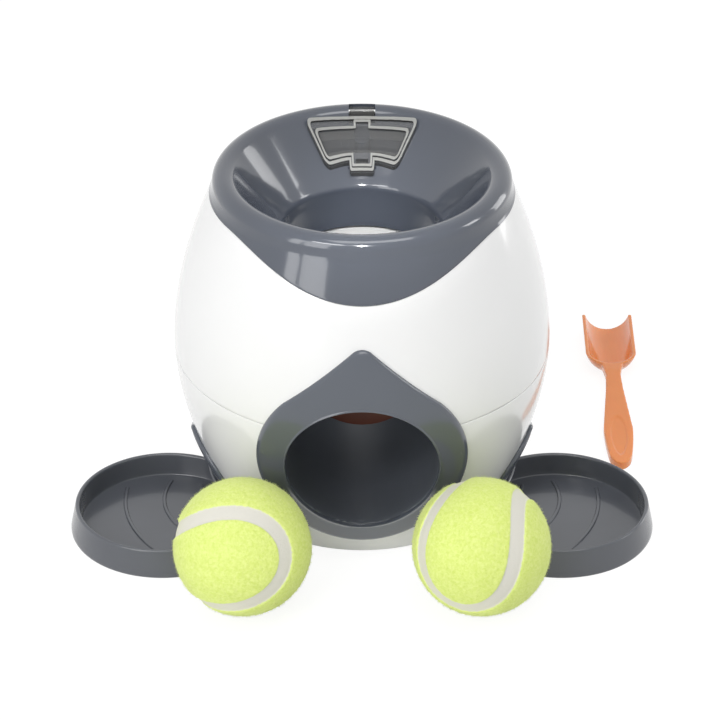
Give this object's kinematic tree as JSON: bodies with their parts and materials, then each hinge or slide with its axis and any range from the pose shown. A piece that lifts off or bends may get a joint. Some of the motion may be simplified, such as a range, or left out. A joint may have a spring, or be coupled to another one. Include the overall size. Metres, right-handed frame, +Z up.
{
  "type": "automatic dog ball launcher",
  "caption": "Barrel-shaped pet ball dispenser with a funnel top, a round front outlet behind a hanging trigger flap, side treat trays, balls and a treat scoop.",
  "frame": {"origin": "on the table, below the axis of the barrel, which is the centre of the set's footprint", "axes": "+Z up along the barrel's axis, -Y towards the ball outlet at the front, +X to the outlet's right as seen from the front"},
  "size_m": [0.2832, 0.283, 0.1737],
  "materials": {
    "slate": "glossy moulded plastic",
    "shell_white": "glossy moulded plastic",
    "inner_grey": "satin moulded plastic",
    "tube_white": "satin moulded plastic",
    "tray_grey": "satin moulded plastic",
    "foot_rubber": "matte rubber",
    "bush_brass": "turned",
    "steel": "bright zinc",
    "flap_orange": "satin moulded plastic",
    "drum_plastic": "satin moulded plastic",
    "clear_lid": "clear smoked plastic",
    "ball_rubber": "matte rubber",
    "ball_felt": "woollen felt",
    "scoop_amber": "glossy translucent plastic"
  },
  "bodies": {
    "base": {"funnel_top": "slate", "upper_shell": "shell_white", "lower_shell": "shell_white", "front_bezel": "slate", "left_outlet_bezel": "slate", "right_outlet_bezel": "slate", "base_cover": "inner_grey", "rubber_feet": "foot_rubber", "drop_tube": "tube_white", "outlet_chute": "inner_grey", "flap_cover": "inner_grey", "treat_hopper": "inner_grey", "left_feed_channel": "inner_grey", "right_feed_channel": "inner_grey", "left_drum_housing": "inner_grey", "right_drum_housing": "inner_grey", "left_treat_chute": "inner_grey", "right_treat_chute": "inner_grey", "shaft_bushes": "bush_brass", "return_spring": "steel", "hatch_pin": "steel", "shell_screws": "steel", "funnel_screws": "steel", "bezel_screws": "steel", "base_screws": "steel", "hopper_screws": "steel", "tube_screws": "steel", "cover_screws": "steel"},
    "trigger": {"trigger_flap": "flap_orange", "trigger_shaft": "steel", "left_drum": "drum_plastic", "right_drum": "drum_plastic", "shaft_clips": "steel"},
    "hatch": {"hatch_lid": "clear_lid"},
    "left_tray": {"left_tray": "tray_grey"},
    "right_tray": {"right_tray": "tray_grey"},
    "left_ball": {"left_ball_core": "ball_rubber", "left_ball_felt": "ball_felt"},
    "right_ball": {"right_ball_core": "ball_rubber", "right_ball_felt": "ball_felt"},
    "scoop": {"treat_scoop": "scoop_amber"}
  },
  "joints": [
    {"name": "flap_swing", "type": "hinge", "parent": "base", "child": "trigger", "pos_m": [0, -0.042, 0.1005], "axis": [-1, 0, 0], "range_deg": [0, 75], "stiffness_Nm_per_rad": 0.003},
    {"name": "hatch_hinge", "type": "hinge", "parent": "base", "child": "hatch", "pos_m": [0, 0.0645, 0.1704], "axis": [-1, 0, 0], "range_deg": [0, 110]},
    {"name": "left_tray_slide", "type": "slide", "parent": "base", "child": "left_tray", "axis": [-0.9146, -0.4044, 0], "range_m": [0, 0.06]},
    {"name": "right_tray_slide", "type": "slide", "parent": "base", "child": "right_tray", "axis": [0.9146, -0.4044, 0], "range_m": [0, 0.06]},
    {"name": "left_ball_roll", "type": "slide", "parent": "base", "child": "left_ball", "axis": [0, -1, 0], "range_m": [0, 0.1]},
    {"name": "right_ball_roll", "type": "slide", "parent": "base", "child": "right_ball", "axis": [0, -1, 0], "range_m": [0, 0.1]},
    {"name": "scoop_lift", "type": "slide", "parent": "base", "child": "scoop", "axis": [0, 0, 1], "range_m": [0, 0.1]}
  ]
}
